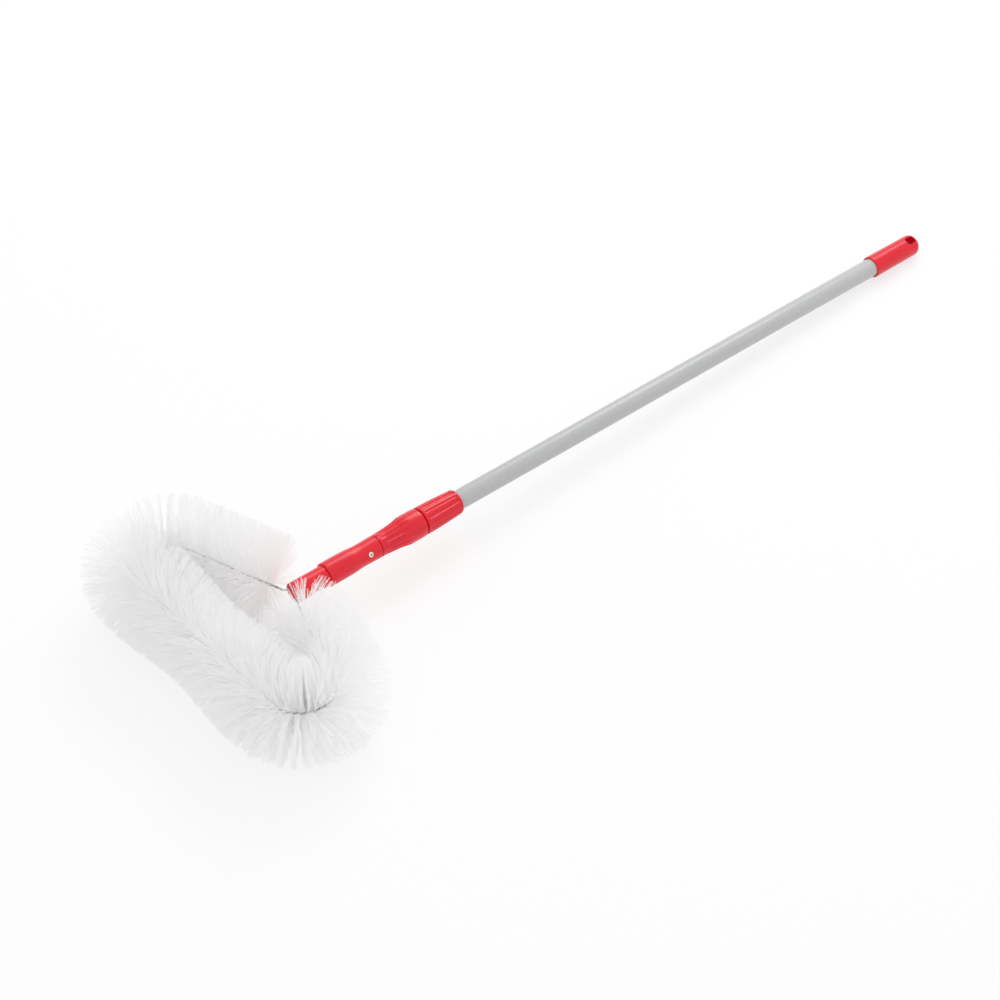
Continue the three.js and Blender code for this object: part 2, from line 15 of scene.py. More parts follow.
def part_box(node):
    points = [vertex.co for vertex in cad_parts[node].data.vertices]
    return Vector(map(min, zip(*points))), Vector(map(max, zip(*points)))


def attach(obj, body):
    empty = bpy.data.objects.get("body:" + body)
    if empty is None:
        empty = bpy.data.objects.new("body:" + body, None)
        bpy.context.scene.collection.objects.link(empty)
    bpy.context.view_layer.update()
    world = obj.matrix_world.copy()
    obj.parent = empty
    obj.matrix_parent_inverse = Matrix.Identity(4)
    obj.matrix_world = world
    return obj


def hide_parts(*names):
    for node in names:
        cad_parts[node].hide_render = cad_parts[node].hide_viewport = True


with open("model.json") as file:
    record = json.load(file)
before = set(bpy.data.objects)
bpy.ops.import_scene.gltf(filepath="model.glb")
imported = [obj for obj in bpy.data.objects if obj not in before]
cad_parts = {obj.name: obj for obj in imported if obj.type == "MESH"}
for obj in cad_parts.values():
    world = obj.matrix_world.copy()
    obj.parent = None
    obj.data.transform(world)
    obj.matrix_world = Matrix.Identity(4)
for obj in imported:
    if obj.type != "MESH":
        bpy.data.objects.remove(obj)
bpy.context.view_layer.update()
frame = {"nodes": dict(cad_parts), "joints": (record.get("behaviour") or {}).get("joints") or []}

MM = 0.001
TURN = 2 * math.pi
SMOOTH_ANGLE = math.radians(35)
TINY = 1e-9
X_AXIS = np.array([1.0, 0.0, 0.0])
Z_AXIS = np.array([0.0, 0.0, 1.0])

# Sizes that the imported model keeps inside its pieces. Lengths are in millimetres.
GAP = 0.3
OVERRUN = 1.0
EDGE = 0.8
LOCK_GROOVE = 2.0
TUBE_WALL = 0.6
TUBE_LIP = 0.15

CAP_MOUTH = 0.4
CAP_RIM = 1.4
CAP_TAPER = 0.4
CAP_DOME = 10.0
SLOT_BAIL = 6.4
SLOT_LENGTH = 12.8
SLOT_WIDTH = 9.6
SLOT_TURN = math.radians(12.5)
SLOT_CORNER = 1.6
SLOT_FLARE = 0.8

SPIGOT_RADIUS = 12.9
BODY_WEB = 8.3
BODY_REAR_ROUNDING = 1.2
BODY_FLUTES = 15
BODY_FLUTE_DEPTH = 1.2
BODY_FLUTE_WIDTH = 4.6
BODY_FLUTE_MARGIN = 2.4
BODY_FLUTE_TURN_SHARE = 0.5

NUT_FLUTES = 15
NUT_FLUTE_DEPTH = 1.2
NUT_FLUTE_WIDTH = 4.4
NUT_FLUTE_START_SHARE = 0.26
NUT_FLUTE_TURN_SHARE = 0.4
NUT_FLUTE_SOFT_SHARE = 0.3
NUT_NOSE_SHARE = 0.85
NUT_NOSE_GAP = 0.6

FLUTE_WALL_POWER = 0.7

COLLET_SLEEVE_RADIUS = 11.4
COLLET_NOSE_RADIUS = 10.9
COLLET_CONE = 16.0
COLLET_SLIT = 2.0

BUSH_WALL = 2.2

SOCKET_WEB = 4.0
STUB_RADIUS = 10.5
NECK_ROUNDING_END = 1.5

RIVET_SETBACK = 15.8
RIVET_HEAD_RADIUS = 2.9
RIVET_HEAD_HEIGHT = 1.1
RIVET_RIM_HEIGHT = 0.35
RIVET_SHANK_RADIUS = 1.6
RIVET_EYE_RADIUS = 1.25
RIVET_TAIL_RADIUS = 2.3
RIVET_TAIL_LENGTH = 3.4
RIVET_LIFT = math.radians(29)
MANDREL_DEPTH = 2.2

WIRE_HOLE_OFFSET = 8.0
WIRE_HOLE_DEPTH = 30.0
WIRE_START = 1.0
WIRE_BEND_RADIUS = 4.0
LOOP_END_RADIUS = 36.0
WIRE_ENVELOPE = 1.4
WIRE_PITCH = 14.0
BARE_WIRE = 12.0

# How finely meshes are divided: steps in millimetres, and numbers of points, rings and segments
SLOT_STEP = 0.8
SLOT_CORNER_POINTS = 9
SLOT_FLARE_RINGS = 7
CAP_RINGS = 24
BODY_SKIN_STEP = 0.6
BODY_REAR_RINGS = 8
NUT_SKIN_STEP = 0.7
SOCKET_SKIN_STEP = 1.5
NECK_RINGS = 20
FLUTE_SEGMENTS = 300

# Outlines: a share of the piece's length and a share of its largest radius
BODY_SHARES = [
    (0.0, 0.985), (0.045, 1.0), (0.1, 0.997), (0.2, 0.988), (0.35, 0.977), (0.5, 0.957),
    (0.65, 0.932), (0.8, 0.908), (0.9, 0.886), (0.96, 0.872),
]
NUT_SHARES = [
    (0.02, 0.985), (0.08, 1.0), (0.2, 1.0), (0.3, 1.0), (0.37, 0.988), (0.44, 0.945),
    (0.52, 0.893), (0.6, 0.86), (0.7, 0.83), (0.8, 0.806), (0.9, 0.79), (0.985, 0.778),
]
SOCKET_SHARES = [
    (0.02, 0.93), (0.1, 0.922), (0.2, 0.912), (0.31, 0.905), (0.41, 0.925), (0.5, 0.965),
    (0.6, 0.985), (0.72, 0.995), (0.84, 1.0), (0.97, 0.995),
]

# Places along the pole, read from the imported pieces
nut_joint = next(joint for joint in frame["joints"] if joint["name"] == "nut_twist")
POLE_ZERO = Vector(nut_joint["pos_m"])
ALONG = -Vector(nut_joint["axis"]).normalized()
ACROSS = Vector((0, 1, 0))
UPWARD = ALONG.cross(ACROSS)
POLE_TO_ROW = Matrix.Translation(POLE_ZERO) @ Matrix((ALONG, ACROSS, UPWARD)).transposed().to_4x4()


def places(node):
    """Where a CAD node starts and ends along the pole, and its largest radius, in millimetres."""
    corners = np.array([v.co for v in frame["nodes"][node].data.vertices]) - np.array(POLE_ZERO)
    along = corners @ np.array(ALONG)
    away = np.linalg.norm(corners - np.outer(along, ALONG), axis=1)
    return along.min() / MM, along.max() / MM, away.max() / MM


TUBE_START, TUBE_END, TUBE_RADIUS = places("outer_tube")
CAP_START, CAP_END, CAP_RADIUS = places("hang_cap")
BODY_START, BODY_END, BODY_RADIUS = places("lock_body")
NUT_START, NUT_END, NUT_RADIUS = places("lock_nut")
COLLET_START, COLLET_END, COLLET_RADIUS = places("lock_collet")
INNER_START, INNER_END, INNER_RADIUS = places("inner_tube")
BUSH_START, BUSH_END, BUSH_RADIUS = places("guide_bush")
SOCKET_START, SOCKET_END, SOCKET_RADIUS = places("brush_socket")
HOLDER_START, HOLDER_END, NECK_RADIUS = places("wire_holder")
LOOP_START, WIRE_END, _ = places("wire_core")
SHOULDER = NUT_END + LOCK_GROOVE
TUBE_SEAT = TUBE_RADIUS + GAP
INNER_SEAT = INNER_RADIUS + GAP
LOOP_HALF_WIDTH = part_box("wire_core")[1].y / MM - WIRE_ENVELOPE
REACH = (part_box("bristles_far_left")[1].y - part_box("wire_core")[1].y) / MM + WIRE_ENVELOPE


# Materials

# Nearly all of a noise lies between these two values
NOISE_LOW, NOISE_HIGH = 0.3, 0.7


def shader(name, color, roughness, metallic=0.0, specular=0.5):
    """A new material with its Principled shader, and the node tree to add detail to."""
    material = bpy.data.materials.new(name)
    material.use_nodes = True
    tree = material.node_tree
    principled = tree.nodes["Principled BSDF"]
    principled.inputs["Base Color"].default_value = (*color, 1)
    principled.inputs["Roughness"].default_value = roughness
    principled.inputs["Metallic"].default_value = metallic
    principled.inputs["Specular IOR Level"].default_value = specular
    return material, tree, principled


def noise_field(tree, scale, detail=3, stretch=(1, 1, 1)):
    """A noise in the piece's own coordinates, in features per metre, stretched along its axes."""
    place = tree.nodes.new("ShaderNodeTexCoord")
    mapping = tree.nodes.new("ShaderNodeMapping")
    mapping.inputs["Scale"].default_value = stretch
    field = tree.nodes.new("ShaderNodeTexNoise")
    field.inputs["Scale"].default_value = scale
    field.inputs["Detail"].default_value = detail
    tree.links.new(place.outputs["Object"], mapping.inputs["Vector"])
    tree.links.new(mapping.outputs["Vector"], field.inputs["Vector"])
    return field.outputs["Fac"]


def vary_color(tree, principled, field, dark, light):
    """The base colour wanders between two colours with a field."""
    ramp = tree.nodes.new("ShaderNodeValToRGB")
    for element, position, color in zip(ramp.color_ramp.elements, (NOISE_LOW, NOISE_HIGH), (dark, light)):
        element.position = position
        element.color = (*color, 1)
    tree.links.new(field, ramp.inputs["Fac"])
    tree.links.new(ramp.outputs["Color"], principled.inputs["Base Color"])


def vary_roughness(tree, principled, field, low, high):
    """The roughness wanders between two values with a field."""
    spread = tree.nodes.new("ShaderNodeMapRange")
    spread.inputs["From Min"].default_value = NOISE_LOW
    spread.inputs["From Max"].default_value = NOISE_HIGH
    spread.inputs["To Min"].default_value = low
    spread.inputs["To Max"].default_value = high
    tree.links.new(field, spread.inputs["Value"])
    tree.links.new(spread.outputs["Result"], principled.inputs["Roughness"])


def add_bump(tree, principled, field, height):
    """Raises the surface with a field, by a height in millimetres."""
    bump = tree.nodes.new("ShaderNodeBump")
    bump.inputs["Distance"].default_value = height * MM
    tree.links.new(field, bump.inputs["Height"])
    tree.links.new(bump.outputs["Normal"], principled.inputs["Normal"])


def scaled(color, factor):
    """A lighter or darker colour, which stays below full white."""
    return tuple(min(1.0, channel * factor) for channel in color)


def red_plastic():
    """Injection-moulded red plastic with a faint satin grain."""
    red = (0.75, 0.008, 0.026)
    material, tree, principled = shader("red_plastic", red, roughness=0.22, specular=0.4)
    vary_color(tree, principled, noise_field(tree, 60), scaled(red, 0.95), scaled(red, 1.05))
    vary_roughness(tree, principled, noise_field(tree, 350), 0.2, 0.26)
    add_bump(tree, principled, noise_field(tree, 900, detail=2), height=0.006)
    return material


def grey_paint():
    """Satin light grey paint on drawn tube, with faint streaks along the pole."""
    grey = (0.49, 0.494, 0.498)
    material, tree, principled = shader("grey_paint", grey, roughness=0.26, specular=0.4)
    streaks = noise_field(tree, 500, stretch=(0.02, 1, 1))
    vary_color(tree, principled, streaks, scaled(grey, 0.975), scaled(grey, 1.025))
    vary_roughness(tree, principled, noise_field(tree, 180), 0.22, 0.32)
    add_bump(tree, principled, noise_field(tree, 900, detail=2), height=0.0015)
    return material


def pale_plastic():
    """Natural, unpainted plastic of the inner parts."""
    pale = (0.7, 0.68, 0.63)
    material, tree, principled = shader("pale_plastic", pale, roughness=0.45)
    vary_color(tree, principled, noise_field(tree, 90), scaled(pale, 0.96), scaled(pale, 1.03))
    vary_roughness(tree, principled, noise_field(tree, 400), 0.4, 0.52)
    return material


def steel_wire():
    """Galvanised wire, dulled unevenly by its zinc."""
    steel = (0.42, 0.42, 0.43)
    material, tree, principled = shader("steel_wire", steel, roughness=0.4, metallic=0.85)
    vary_color(tree, principled, noise_field(tree, 700), scaled(steel, 0.75), scaled(steel, 1.2))
    vary_roughness(tree, principled, noise_field(tree, 1200), 0.3, 0.5)
    return material


def rivet_metal():
    """Pale, slightly warm rivet metal with fine turning marks."""
    pale = (0.85, 0.78, 0.68)
    material, tree, principled = shader("rivet_metal", pale, roughness=0.32, metallic=0.7)
    vary_color(tree, principled, noise_field(tree, 1500), scaled(pale, 0.93), scaled(pale, 1.04))
    vary_roughness(tree, principled, noise_field(tree, 2500), 0.25, 0.4)
    return material


def bristle_fibre():
    """White filament, a touch greyer in places."""
    white = (0.996, 0.996, 0.996)
    material, tree, principled = shader("bristle_fibre", white, roughness=0.5, specular=0.3)
    vary_color(tree, principled, noise_field(tree, 450, detail=2), scaled(white, 0.985), white)
    return material


RED = red_plastic()
GREY = grey_paint()
PALE = pale_plastic()
STEEL = steel_wire()
RIVET = rivet_metal()
FIBRE = bristle_fibre()


# Meshes

def in_scene(name, data):
    """A new object in the scene, from its mesh, lamp or lens."""
    thing = bpy.data.objects.new(name, data)
    bpy.context.scene.collection.objects.link(thing)
    return thing


def new_piece(name, points, faces, material):
    """An object from points in the pole's frame, in millimetres."""
    mesh = bpy.data.meshes.new(name)
    mesh.from_pydata([tuple(p) for p in points], [], [tuple(f) for f in faces])
    mesh.materials.append(material)
    return in_scene(name, mesh)


def shade(piece):
    """Smooth shading, apart from edges sharper than the smoothing angle."""
    mesh = piece.data
    mesh.polygons.foreach_set("use_smooth", np.ones(len(mesh.polygons), bool))
    mesh.set_sharp_from_angle(angle=SMOOTH_ANGLE)


def to_row(piece):
    """Brings a piece's mesh from millimetres in the pole's frame to metres in the row frame."""
    piece.data.transform(POLE_TO_ROW @ Matrix.Scale(MM, 4))
    piece.data.update()


def finish_piece(piece, body, slot, *nodes):
    """Puts a piece in its place, on its body, instead of the CAD nodes that it stands for."""
    to_row(piece)
    shade(piece)
    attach(piece, body)
    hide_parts(*nodes)
    return piece


def arc(along, radius, along_size, radius_size, start, end, steps=8):
    """Points of a quarter ellipse, between two angles in quarter turns."""
    angles = np.linspace(start, end, steps + 1) * TURN / 4
    return [(along + along_size * math.cos(a), radius + radius_size * math.sin(a)) for a in angles]


def smooth_outline(points, steps=6):
    """A Catmull-Rom curve through the points of an outline."""
    p = np.array([points[0], *points, points[-1]], float)
    t = np.linspace(0, 1, steps, endpoint=False)[:, None]
    out = []
    for a, b, c, d in zip(p, p[1:], p[2:], p[3:]):
        out.extend(b + (c - a) * t / 2 + (a - 2.5 * b + 2 * c - d / 2) * t ** 2
                   + (-a / 2 + 1.5 * b - 1.5 * c + d / 2) * t ** 3)
    return [tuple(q) for q in out] + [tuple(points[-1])]


def contour(shares, start, length, radius):
    """An outline of (place, radius) pairs from shares of a length and a radius."""
    return [(start + length * along, radius * away) for along, away in shares]


def dense(outline, step):
    """Adds points so that no two neighbours on an outline lie further apart than a step."""
    out = [outline[0]]
    for a, b in zip(outline, outline[1:]):
        pieces = max(1, math.ceil(math.dist(a, b) / step))
        out += [tuple(p + (q - p) * i / pieces for p, q in zip(a, b)) for i in range(1, pieces + 1)]
    return out


def refined(plan, step):
    """Adds points along the straight sides of a closed plan."""
    out = []
    for a, b in zip(plan, plan[1:] + plan[:1]):
        pieces = max(1, round(math.dist(a[:2], b[:2]) / step))
        out += [tuple(p + (q - p) * i / pieces for p, q in zip(a, b)) for i in range(pieces)]
    return out


def unit(vectors):
    """Vectors of length 1, the same way."""
    return vectors / np.maximum(np.linalg.norm(vectors, axis=-1, keepdims=True), TINY)


def ring_quads(rings, sides, first=0):
    """Faces between rings of points, where the points are listed ring after ring from a first one on."""
    quads = []
    for ring in range(rings - 1):
        near = first + ring * sides
        for k in range(sides):
            n = (k + 1) % sides
            quads.append((near + k, near + n, near + sides + n, near + sides + k))
    return quads


def end_caps(rings, sides, first=0):
    """One face over each end of such rings."""
    last = first + (rings - 1) * sides
    return [tuple(range(first, first + sides))[::-1], tuple(range(last, last + sides))]


def spokes(first, second, sides):
    """Ways out to the sides of a rod, from two directions that stand across it."""
    around = np.arange(sides) * TURN / sides
    return np.cos(around)[:, None] * first[..., None, :] + np.sin(around)[:, None] * second[..., None, :]


def turned(name, profile, material, segments=96, hollow=False, relief=None):
    """A profile of (place, radius) pairs turned about the pole.

    A hollow profile closes on itself, and any other one is capped on the axis. The relief is how
    much is taken off the radius at a place and an angle."""
    profile = np.array(profile, float)
    angles = np.arange(segments) * TURN / segments
    radius = np.repeat(profile[:, 1:], segments, axis=1)
    if relief:
        radius = radius - relief(profile[:, :1], angles[None, :])
    points = np.stack([
        np.repeat(profile[:, :1], segments, axis=1),
        radius * np.cos(angles),
        radius * np.sin(angles),
    ], axis=-1).reshape(-1, 3).tolist()
    rings = len(profile)
    faces = []
    for i in range(rings if hollow else rings - 1):
        near, far = i * segments, (i + 1) % rings * segments
        for k in range(segments):
            n = (k + 1) % segments
            faces.append((near + k, far + k, far + n, near + n))
    if not hollow:
        for row, step in ((0, 1), (rings - 1, -1)):
            points.append((profile[row, 0], 0, 0))
            ring = [row * segments + k for k in range(segments)][::step]
            faces += [(len(points) - 1, ring[k], ring[(k + 1) % segments]) for k in range(segments)]
    piece = new_piece(name, points, faces, material)
    outward(piece)
    return piece


def outward(piece):
    """Turns every face of a closed mesh outwards."""
    skin = bmesh.new()
    skin.from_mesh(piece.data)
    bmesh.ops.recalc_face_normals(skin, faces=skin.faces)
    skin.to_mesh(piece.data)
    skin.free()


def cut(piece, cutter):
    """Takes the cutter out of the piece and deletes the cutter."""
    modifier = piece.modifiers.new("cut", "BOOLEAN")
    modifier.operation = "DIFFERENCE"
    modifier.solver = "EXACT"
    modifier.object = cutter
    graph = bpy.context.evaluated_depsgraph_get()
    mesh = bpy.data.meshes.new_from_object(piece.evaluated_get(graph))
    piece.modifiers.clear()
    old = piece.data
    piece.data = mesh
    bpy.data.meshes.remove(old)
    mesh.name = piece.name
    bpy.data.objects.remove(cutter)


def rise(place, start, length):
    """Goes smoothly from 0 to 1 over a length."""
    share = np.clip((place - start) / length, 0, 1)
    return share * share * (3 - 2 * share)


def flutes(place, angle, radius, count, turn_share, start, stop, width):
    """Depth, from 0 to 1, of round-bottomed flutes with rounded ends, evenly spaced round a piece."""
    sideways = ((angle * count / TURN - turn_share + 0.5) % 1 - 0.5) * TURN * radius / count
    beyond = np.maximum(0, np.maximum(start + width / 2 - place, place - stop + width / 2))
    away = np.hypot(sideways, beyond) / (width / 2)
    return np.clip(1 - away ** 2, 0, 1) ** FLUTE_WALL_POWER


# Pole

def tube_profile(start, end, radius):
    """A thin tube whose rims are slightly rounded."""
    bore, skin = radius - TUBE_WALL, radius - TUBE_LIP
    return [
        (start, bore + TUBE_LIP),
        *arc(start + TUBE_LIP, skin, TUBE_LIP, TUBE_LIP, 2, 1, steps=3),
        *arc(end - TUBE_LIP, skin, TUBE_LIP, TUBE_LIP, 1, 0, steps=3),
        (end, bore + TUBE_LIP),
        (end - TUBE_LIP, bore),
        (start + TUBE_LIP, bore),
    ]


def outer_tube():
    profile = tube_profile(TUBE_START, TUBE_END, TUBE_RADIUS)
    piece = turned("outer_tube_painted", profile, GREY, hollow=True)
    return finish_piece(piece, "outer_pole", "grey_paint", "outer_tube")


def inner_tube():
    profile = tube_profile(INNER_START, INNER_END, INNER_RADIUS)
    piece = turned("inner_tube_painted", profile, GREY, hollow=True)
    cut(piece, rivet_hole())
    return finish_piece(piece, "inner_pole", "grey_paint", "inner_tube")


def slot_plan():
    """The slot's rounded outline: for each point its place, and its way out of the slot."""
    far, near = CAP_END - SLOT_BAIL, CAP_END - SLOT_BAIL - SLOT_LENGTH
    half = SLOT_WIDTH / 2
    plan = []
    for x, y, quarter in ((far, -half, -1), (far, half, 0), (near, half, 1), (near, -half, 2)):
        inner_x = x + (SLOT_CORNER if x == near else -SLOT_CORNER)
        inner_y = y + (SLOT_CORNER if y < 0 else -SLOT_CORNER)
        for a in np.linspace(quarter, quarter + 1, SLOT_CORNER_POINTS) * TURN / 4:
            way = (math.cos(a), math.sin(a))
            plan.append((inner_x + SLOT_CORNER * way[0], inner_y + SLOT_CORNER * way[1], *way))
    return refined(plan, SLOT_STEP)


def slot_cutter():
    """A slot through the cap, turned a little about the pole, whose walls flare out at the skin."""
    plan = slot_plan()

    def grown(size):
        return [(x + size * way_x, y + size * way_y) for x, y, way_x, way_y in plan]

    halves = []
    for side in (-1, 1):
        flare = []
        for angle in np.linspace(0, 1, SLOT_FLARE_RINGS) * TURN / 4:
            sink = SLOT_FLARE * (1 - math.sin(angle))
            outline = grown(SLOT_FLARE * (1 - math.cos(angle)))
            flare.append([(x, y, side * (skin_height(x, y) - sink)) for x, y in outline])
        flare.append([(x, y, side * (CAP_RADIUS + OVERRUN)) for x, y in grown(SLOT_FLARE)])
        halves.append(flare)
    stack = halves[0][::-1] + halves[1]
    points = [point for ring in stack for point in ring]
    faces = ring_quads(len(stack), len(plan)) + end_caps(len(stack), len(plan))
    cutter = new_piece("slot_cutter", points, faces, RED)
    cutter.data.transform(Matrix.Rotation(SLOT_TURN, 4, "X"))
    outward(cutter)
    return cutter


def cap_radius(x):
    """The cap narrows evenly from its rim to its dome."""
    start, end = CAP_START + CAP_RIM, CAP_END - CAP_DOME
    return CAP_RADIUS - CAP_TAPER * (x - start) / (end - start)


def skin_height(x, y):
    """Height of the cap's skin above its axis, over a point of the plan."""
    into_dome = max(0.0, min(1.0, (x - CAP_END + CAP_DOME) / CAP_DOME))
    radius = cap_radius(min(x, CAP_END - CAP_DOME)) * math.sqrt(max(0.0, 1 - into_dome ** 2))
    return math.sqrt(max(0.0, radius ** 2 - y ** 2))


def hang_cap():
    dome_start = CAP_END - CAP_DOME
    piece = turned("hang_cap_moulded", [
        (TUBE_END + GAP, TUBE_SEAT),
        (CAP_START + CAP_MOUTH, TUBE_SEAT),
        (CAP_START, TUBE_SEAT + CAP_MOUTH),
        *arc(CAP_START + CAP_RIM, CAP_RADIUS - CAP_RIM, CAP_RIM, CAP_RIM, 2, 1),
        *[(x, cap_radius(x)) for x in np.linspace(CAP_START + 2 * CAP_RIM, dome_start - CAP_RIM, CAP_RINGS)],
        *arc(dome_start, 0, CAP_DOME, CAP_RADIUS - CAP_TAPER, 1, 0.02, steps=24),
    ], RED, segments=128)
    cut(piece, slot_cutter())
    return finish_piece(piece, "outer_pole", "red_plastic", "hang_cap")


# Twist lock

def lock_body():
    length = BODY_END - SHOULDER
    rear = BODY_RADIUS * BODY_SHARES[-1][1]
    front = BODY_RADIUS * BODY_SHARES[0][1]
    skin = smooth_outline(contour(BODY_SHARES, SHOULDER, length, BODY_RADIUS))
    skin = [(x, r) for x, r in skin if x > SHOULDER + EDGE]
    rounding = BODY_REAR_ROUNDING
    rear_arc = arc(BODY_END - rounding, rear - rounding, rounding, rounding, 1, 0, steps=12)
    fill = [(x, rear) for x in np.linspace(skin[-1][0], rear_arc[0][0], BODY_REAR_RINGS)[1:-1]]

    def relief(place, angle):
        return BODY_FLUTE_DEPTH * flutes(
            place, angle, BODY_RADIUS, BODY_FLUTES, BODY_FLUTE_TURN_SHARE,
            SHOULDER + BODY_FLUTE_MARGIN, BODY_END - BODY_FLUTE_MARGIN, BODY_FLUTE_WIDTH)

    piece = turned("lock_body_moulded", [
        (BODY_START, COLLET_SLEEVE_RADIUS + GAP + EDGE),
        (BODY_START, SPIGOT_RADIUS - EDGE),
        (BODY_START + EDGE, SPIGOT_RADIUS),
        (SHOULDER, SPIGOT_RADIUS),
        *arc(SHOULDER + EDGE, front - EDGE, EDGE, EDGE, 2, 1),
        *dense(skin + fill + rear_arc, BODY_SKIN_STEP),
        (BODY_END, TUBE_SEAT + GAP),
    ], RED, segments=FLUTE_SEGMENTS, relief=relief)
    bore = turned("body_bore", [
        (BODY_START - OVERRUN, COLLET_SLEEVE_RADIUS + GAP),
        (SHOULDER, COLLET_SLEEVE_RADIUS + GAP),
        (SHOULDER, INNER_SEAT),
        (SHOULDER + BODY_WEB, INNER_SEAT),
        (SHOULDER + BODY_WEB, TUBE_SEAT),
        (BODY_END + OVERRUN, TUBE_SEAT),
    ], RED)
    cut(piece, bore)
    return finish_piece(piece, "outer_pole", "red_plastic", "lock_body")


def lock_nut():
    length = NUT_END - NUT_START
    skin = smooth_outline(contour(NUT_SHARES, NUT_END, -length, NUT_RADIUS))
    rear, nose = skin[0], skin[-1]
    rear_size = NUT_END - rear[0]
    nose_size = nose[0] - NUT_START
    flute_rear = NUT_END - length * NUT_FLUTE_START_SHARE

    def relief(place, angle):
        share = (place - NUT_START) / (flute_rear - NUT_START)
        soft = NUT_FLUTE_SOFT_SHARE
        deepest = rise(share, 0.0, soft) * (1 - rise(share, 1 - soft, soft))
        return NUT_FLUTE_DEPTH * deepest * flutes(
            place, angle, NUT_RADIUS * NUT_NOSE_SHARE, NUT_FLUTES, NUT_FLUTE_TURN_SHARE,
            NUT_START, flute_rear, NUT_FLUTE_WIDTH)

    piece = turned("lock_nut_moulded", [
        (NUT_END, SPIGOT_RADIUS + GAP + EDGE),
        *arc(rear[0], rear[1] - EDGE, rear_size, EDGE, 0, 1)[:-1],
        *dense(skin, NUT_SKIN_STEP),
        *arc(nose[0], nose[1] - EDGE, nose_size, EDGE, 1, 2)[1:],
        (NUT_START, INNER_RADIUS + NUT_NOSE_GAP + GAP),
    ], RED, segments=FLUTE_SEGMENTS, relief=relief)
    cone_start = BODY_START - GAP
    cone_end = cone_start - COLLET_CONE - GAP
    bore = turned("nut_bore", [
        (NUT_END + OVERRUN, SPIGOT_RADIUS + GAP),
        (cone_start - GAP, SPIGOT_RADIUS + GAP),
        (cone_end, COLLET_NOSE_RADIUS + GAP),
        (cone_end, INNER_RADIUS + NUT_NOSE_GAP),
        (NUT_START - OVERRUN, INNER_RADIUS + NUT_NOSE_GAP),
    ], RED)
    cut(piece, bore)
    return finish_piece(piece, "twist_nut", "red_plastic", "lock_nut")


def lock_collet():
    flange = COLLET_START + COLLET_CONE
    piece = turned("lock_collet_moulded", [
        (COLLET_END, INNER_SEAT),
        (COLLET_END, COLLET_SLEEVE_RADIUS),
        (flange, COLLET_SLEEVE_RADIUS),
        *arc(flange - GAP, COLLET_RADIUS - GAP, GAP, GAP, 0, 1, steps=3),
        *arc(COLLET_START + GAP, COLLET_NOSE_RADIUS - GAP, GAP, GAP, 1, 2, steps=3),
        (COLLET_START, INNER_SEAT),
    ], PALE, hollow=True)
    reach = COLLET_RADIUS + OVERRUN
    half = COLLET_SLIT / 2
    ends = (COLLET_START - OVERRUN, COLLET_END + OVERRUN)
    corners = [(x, y, z) for x in ends for y in (-half, half) for z in (0, reach)]
    box_faces = [(0, 1, 3, 2), (4, 6, 7, 5), (0, 4, 5, 1), (2, 3, 7, 6), (0, 2, 6, 4), (1, 5, 7, 3)]
    cut(piece, new_piece("slit_cutter", corners, box_faces, PALE))
    return finish_piece(piece, "outer_pole", "pale_plastic", "lock_collet")


def guide_bush():
    stem = INNER_RADIUS - TUBE_WALL - GAP
    bore = stem - BUSH_WALL
    flange = INNER_END + GAP
    piece = turned("guide_bush_moulded", [
        (BUSH_START, bore),
        *arc(BUSH_START + EDGE, stem - EDGE, EDGE, EDGE, 2, 1, steps=4),
        (flange, stem),
        *arc(flange + GAP, BUSH_RADIUS - GAP, GAP, GAP, 2, 1, steps=3),
        *arc(BUSH_END - EDGE, BUSH_RADIUS - EDGE, EDGE, EDGE, 1, 0, steps=4),
        (BUSH_END, bore),
    ], PALE, hollow=True)
    return finish_piece(piece, "slide_guide", "pale_plastic", "guide_bush")


# Brush socket, rivet and wire holder

def at_rivet(piece):
    """Places a piece drawn along X at the rivet: X becomes the way out of the socket's wall."""
    out = Matrix.Rotation(-RIVET_LIFT, 4, "X") @ Matrix.Rotation(-TURN / 4, 4, "Z")
    piece.data.transform(Matrix.Translation((SOCKET_END - RIVET_SETBACK, 0, 0)) @ out)
    return piece


def rivet_hole():
    radius = RIVET_SHANK_RADIUS + GAP
    reach = SOCKET_RADIUS + RIVET_HEAD_HEIGHT
    return at_rivet(turned("rivet_hole", [(0, radius), (reach, radius)], RED, segments=32))


def socket_radius_at(place):
    shares = np.array(SOCKET_SHARES)
    share = (SOCKET_END - place) / (SOCKET_END - SOCKET_START)
    return SOCKET_RADIUS * float(np.interp(share, shares[:, 0], shares[:, 1]))


